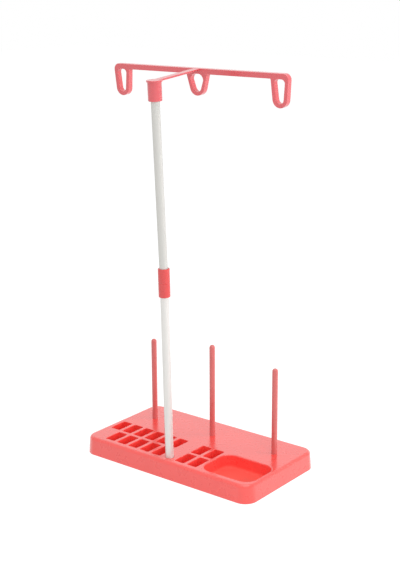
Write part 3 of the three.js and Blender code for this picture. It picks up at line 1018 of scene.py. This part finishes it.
    def build(self, place: Place) -> Object:
        """Returns the guide as one closed mesh at a place."""
        socket = self.socket().placed(place)
        steps = [(Join.ADD, self.arm().placed(place)), (Join.ADD, self.bar().placed(place))]
        return smoothed(worked("thread_guide_moulding", socket, steps))


@dataclass(frozen=True)
class Mast:
    """The leaning mast: two tubes, the sleeve that couples them, and the guide on top.

    Args:
        foot_y: the mast's Y from the middle of the base.
        pivot_z: the height about which the lower tube leans in its hole.
        lean_deg: how far the lower tube leans towards -Y.
        kink_deg: how much further the upper tube leans.
    """

    foot_y: float = -40.9
    pivot_z: float = 10.1
    lean_deg: float = 1.5
    kink_deg: float = 1.5
    sleeve_at: float = 168.5
    upper_at: float = 6.675
    guide_at: float = 165.525
    lower: Tube = Tube("lower_mast_tube", foot=-6.2, head=167.45)
    upper: Tube = Tube("upper_mast_tube", foot=-5.625, head=162.225)

    def places(self) -> tuple[Place, ...]:
        """Returns the places of the lower tube, the sleeve, the upper tube and the guide."""
        low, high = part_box("base")
        middle = (low[1] + high[1]) / 2 / MM
        lower = Place((0.0, middle + self.foot_y, self.pivot_z), self.lean_deg)
        sleeve = lower.further(self.sleeve_at)
        upper = sleeve.further(self.upper_at, self.kink_deg)
        return lower, sleeve, upper, upper.further(self.guide_at)


@dataclass(frozen=True)
class PhotographCamera:
    """A camera at the photograph's place and angle of view."""

    place_mm: Triple = (624.366, -782.079, 442.667)
    azimuth_deg: float = 38.309
    elevation_deg: float = 15.3812
    roll_deg: float = -0.3286
    lens_mm: float = 74.248

    def build(self) -> None:
        """Makes the camera.

        Its back axis is (sin a cos e, -cos a cos e, sin e), and its right axis (cos a, sin a, 0) is
        turned about that by the roll.
        """
        degrees = (self.azimuth_deg, self.elevation_deg, self.roll_deg)
        a, e, roll = (math.radians(angle) for angle in degrees)
        back = Vector((math.sin(a) * math.cos(e), -math.cos(a) * math.cos(e), math.sin(e)))
        level = Vector((math.cos(a), math.sin(a), 0.0))
        right = level * math.cos(roll) + back.cross(level) * math.sin(roll)
        up = back.cross(right)
        turn = Matrix((right, up, back)).transposed().to_4x4()
        data = bpy.data.cameras.new("photograph_camera")
        data.sensor_fit = "AUTO"
        data.sensor_width = 36.0
        data.lens = self.lens_mm
        data.clip_start = 0.05
        data.clip_end = 20.0
        camera = bpy.data.objects.new("photograph_camera", data)
        camera.matrix_world = Matrix.Translation(Vector(self.place_mm) * MM) @ turn
        bpy.context.scene.collection.objects.link(camera)
        bpy.context.scene.camera = camera


@dataclass(frozen=True)
class Softbox:
    """A square area lamp.

    Args:
        name: the lamp's name.
        place: where it stands, in metres.
        size: its side, in metres.
        power: its power, in watts.
        mirrored: whether it shows in gloss too, where the others leave only the white surround.
    """

    name: str
    place: Triple
    size: float
    power: float
    mirrored: bool = False

    def build(self, target: Vector) -> None:
        """Makes the lamp, aimed at a target."""
        data = bpy.data.lights.new(self.name, "AREA")
        data.shape = "SQUARE"
        data.size = self.size
        data.energy = self.power
        lamp = bpy.data.objects.new(self.name, data)
        lamp.location = self.place
        lamp.visible_glossy = self.mirrored
        lamp.rotation_euler = (target - Vector(self.place)).to_track_quat("-Z", "Y").to_euler()
        bpy.context.scene.collection.objects.link(lamp)


@dataclass(frozen=True)
class Studio:
    """A plain white floor, a white surround and soft lamps.

    Args:
        floor_side: the floor's side, in metres.
        floor_albedo: how much light the floor sends back to the object.
        shown_glow: how brightly the floor shows before any lamp.
        shown_albedo: how much of the lamps' light it shows, which leaves a faint shadow.
        surround: the strength of the surround's light on the object.
        aim: where the lamps are aimed, in metres.
        lamps: the lamps.
    """

    floor_side: float = 8.0
    floor_albedo: float = 0.8
    shown_glow: float = 0.86
    shown_albedo: float = 0.33
    surround: float = 0.45
    aim: Triple = (0.0, 0.0, 0.12)
    lamps: tuple[Softbox, ...] = (
        Softbox("key_softbox", (1.4, -1.1, 1.0), size=1.1, power=13.0),
        Softbox("rim_softbox", (1.5, 1.0, 0.4), size=0.9, power=16.0),
        Softbox("fill_softbox", (-1.0, -1.3, 0.9), size=1.2, power=3.0),
        Softbox("top_softbox", (0.2, -0.1, 1.9), size=1.4, power=12.0, mirrored=True),
    )

    def floor(self) -> None:
        """Makes the floor: plain white to the light, and to the eye white with a faint shadow."""
        half = self.floor_side / 2 / MM
        corners = half * np.array([[-1, -1, 0], [1, -1, 0], [1, 1, 0], [-1, 1, 0]])
        sheet = Surface(corners, [np.arange(4)[None, :]]).to_object("studio_floor")
        material, nodes = begun("studio_floor_white", (self.floor_albedo,) * 3)
        lit, dim = (
            nodes.add("ShaderNodeBsdfDiffuse", Color=(albedo,) * 3 + (1.0,)).outputs["BSDF"]
            for albedo in (self.floor_albedo, self.shown_albedo)
        )
        glow = nodes.add("ShaderNodeEmission", Color=WHITE, Strength=self.shown_glow)
        both = nodes.add("ShaderNodeAddShader", dim, glow.outputs["Emission"])
        surface = nodes.shown(lit, both.outputs["Shader"])
        nodes.add("ShaderNodeOutputMaterial", Surface=surface)
        sheet.data.materials.append(material)

    def world(self) -> None:
        """Makes the surround: white where it is seen, and a dimmer even light on the object."""
        world = bpy.data.worlds.new("studio_surround")
        world.use_nodes = True
        nodes = Nodes(world.node_tree)
        dim, white = (
            nodes.add("ShaderNodeBackground", Color=WHITE, Strength=strength).outputs["Background"]
            for strength in (self.surround, 1.0)
        )
        nodes.add("ShaderNodeOutputWorld", Surface=nodes.shown(dim, white))
        bpy.context.scene.world = world

    def build(self) -> None:
        """Makes the floor, the surround and the lamps, and sets how colours are shown."""
        self.floor()
        self.world()
        for lamp in self.lamps:
            lamp.build(Vector(self.aim))
        bpy.context.scene.view_settings.view_transform = "Standard"


def main() -> None:
    """Builds the pieces in order and ties each to the frame."""
    base_plastic = MouldedPlastic(
        "base_coral_plastic", (0.955, 0.072, 0.06), polish=1.0,
        # The sunken floors' paler colour is painted light.
        floor_haze=0.45, floor_painted_light=(0.955, 0.104, 0.078),
    ).build()
    pin_plastic = MouldedPlastic("pin_coral_plastic", (0.665, 0.142, 0.134)).build()
    sleeve_plastic = MouldedPlastic("connector_coral_plastic", (0.73, 0.062, 0.06)).build()
    guide_plastic = MouldedPlastic("guide_coral_plastic", (0.735, 0.1, 0.115), polish=0.7).build()

    PhotographCamera().build()
    Studio().build()

    dress(Base().build(), base_plastic, "base", "base_plastic", "base")
    for side in ("left", "middle", "right"):
        pin = SpoolPin(f"spool_pin_{side}", f"pin_{side}")
        dress(pin.build(), pin_plastic, pin.body, "pin_plastic", pin.node)

    mast = Mast()
    lower, sleeve, upper, top = mast.places()
    # The two tubes are one metal: the lower tube's colour is painted lighter and the upper tube's
    # darker, as painted light and shade for the brighter light near the base.
    lit_lower_metal = DrawnMetal("lower_tube_metal_lit", (0.8, 0.786, 0.757), lower.lean_deg).build()
    shaded_upper_metal = DrawnMetal("upper_tube_metal_shaded", (0.66, 0.652, 0.62), upper.lean_deg).build()
    dress(mast.lower.build(lower), lit_lower_metal, "mast_lower", "tube_metal", "lower_tube")
    dress(Sleeve().build(sleeve), sleeve_plastic, "connector", "connector_plastic",
          "tube_connector")
    dress(mast.upper.build(upper), shaded_upper_metal, "mast_upper", "tube_metal", "upper_tube")
    dress(ThreadGuide().build(top), guide_plastic, "guide", "guide_plastic", "thread_guide")


if __name__ == "__main__":
    logging.basicConfig(level=logging.INFO, format="%(name)s: %(message)s")
    main()
